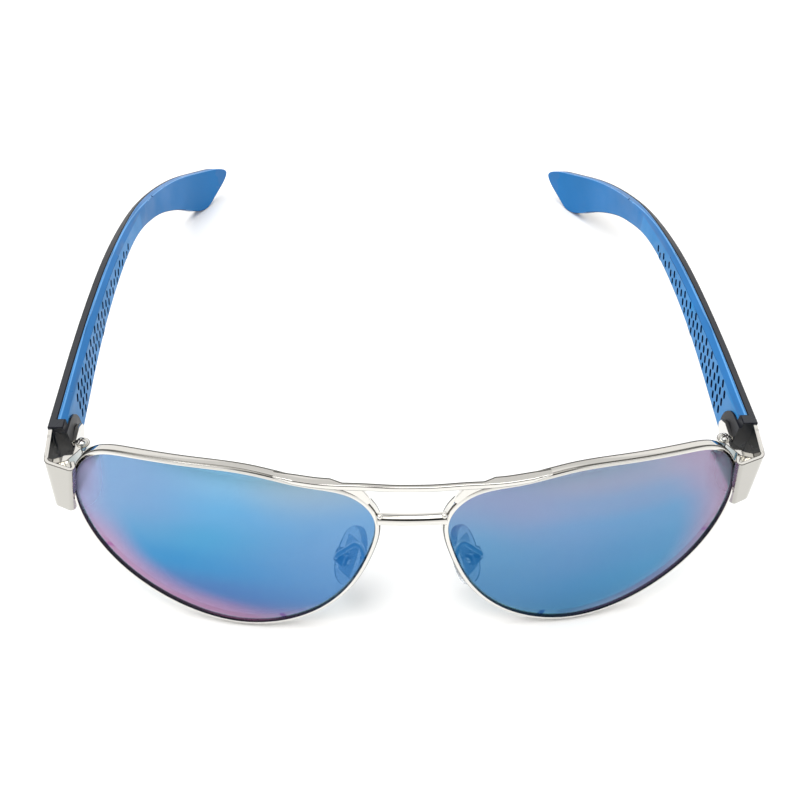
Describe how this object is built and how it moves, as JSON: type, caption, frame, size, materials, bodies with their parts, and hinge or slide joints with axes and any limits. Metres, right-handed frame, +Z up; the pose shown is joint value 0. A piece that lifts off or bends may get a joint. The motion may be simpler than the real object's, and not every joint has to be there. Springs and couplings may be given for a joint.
{
  "type": "sunglasses",
  "caption": "Aviator sunglasses with a metal front, a brow bar above the bridge, mirrored lenses, swivelling nose pads and folding perforated temples.",
  "frame": {"origin": "on the ground, at the middle of the outer box, below the middle plane of the face", "axes": "X to the wearer's left, Y back along the temples, Z up, while the glasses stand open on the lower edges of the rims and the temple tips"},
  "size_m": [0.1494, 0.1668, 0.0408],
  "materials": {
    "chrome": "polished",
    "screw_steel": "polished",
    "mirror_lens": "blue and violet mirror coating on a tinted lens",
    "clear_silicone": "clear, soft",
    "clear_core": "clear, hard",
    "black_shell": "glossy black",
    "blue_inlay": "satin blue"
  },
  "bodies": {
    "front": {"brow_bar": "chrome", "bridge": "chrome", "left_rim": "chrome", "left_lens": "mirror_lens", "left_endpiece": "chrome", "left_lock_upper": "chrome", "left_lock_lower": "chrome", "left_lock_screw": "screw_steel", "left_front_hinge": "chrome", "left_hinge_screw": "screw_steel", "left_pad_arm": "chrome", "left_pad_box": "chrome", "left_pad_screw": "screw_steel", "right_rim": "chrome", "right_lens": "mirror_lens", "right_endpiece": "chrome", "right_lock_upper": "chrome", "right_lock_lower": "chrome", "right_lock_screw": "screw_steel", "right_front_hinge": "chrome", "right_hinge_screw": "screw_steel", "right_pad_arm": "chrome", "right_pad_box": "chrome", "right_pad_screw": "screw_steel"},
    "left_pad": {"left_nose_pad": "clear_silicone", "left_pad_core": "clear_core"},
    "right_pad": {"right_nose_pad": "clear_silicone", "right_pad_core": "clear_core"},
    "left_temple": {"left_temple_shell": "black_shell", "left_temple_inlay": "blue_inlay", "left_temple_hinge": "chrome"},
    "right_temple": {"right_temple_shell": "black_shell", "right_temple_inlay": "blue_inlay", "right_temple_hinge": "chrome"}
  },
  "joints": [
    {"name": "left_temple_fold", "type": "hinge", "parent": "front", "child": "left_temple", "pos_m": [0.0671, -0.05844, 0.0288], "axis": [0, 0, 1], "range_deg": [0, 89]},
    {"name": "right_temple_fold", "type": "hinge", "parent": "front", "child": "right_temple", "pos_m": [-0.0671, -0.05844, 0.0288], "axis": [0, 0, -1], "range_deg": [0, 83]},
    {"name": "left_pad_swivel", "type": "hinge", "parent": "front", "child": "left_pad", "pos_m": [0.01359, -0.07454, 0.01289], "axis": [0.5983, 0.7778, -0.1926], "range_deg": [-8, 8]},
    {"name": "right_pad_swivel", "type": "hinge", "parent": "front", "child": "right_pad", "pos_m": [-0.01359, -0.07454, 0.01289], "axis": [-0.5983, 0.7778, -0.1926], "range_deg": [-8, 8]}
  ]
}
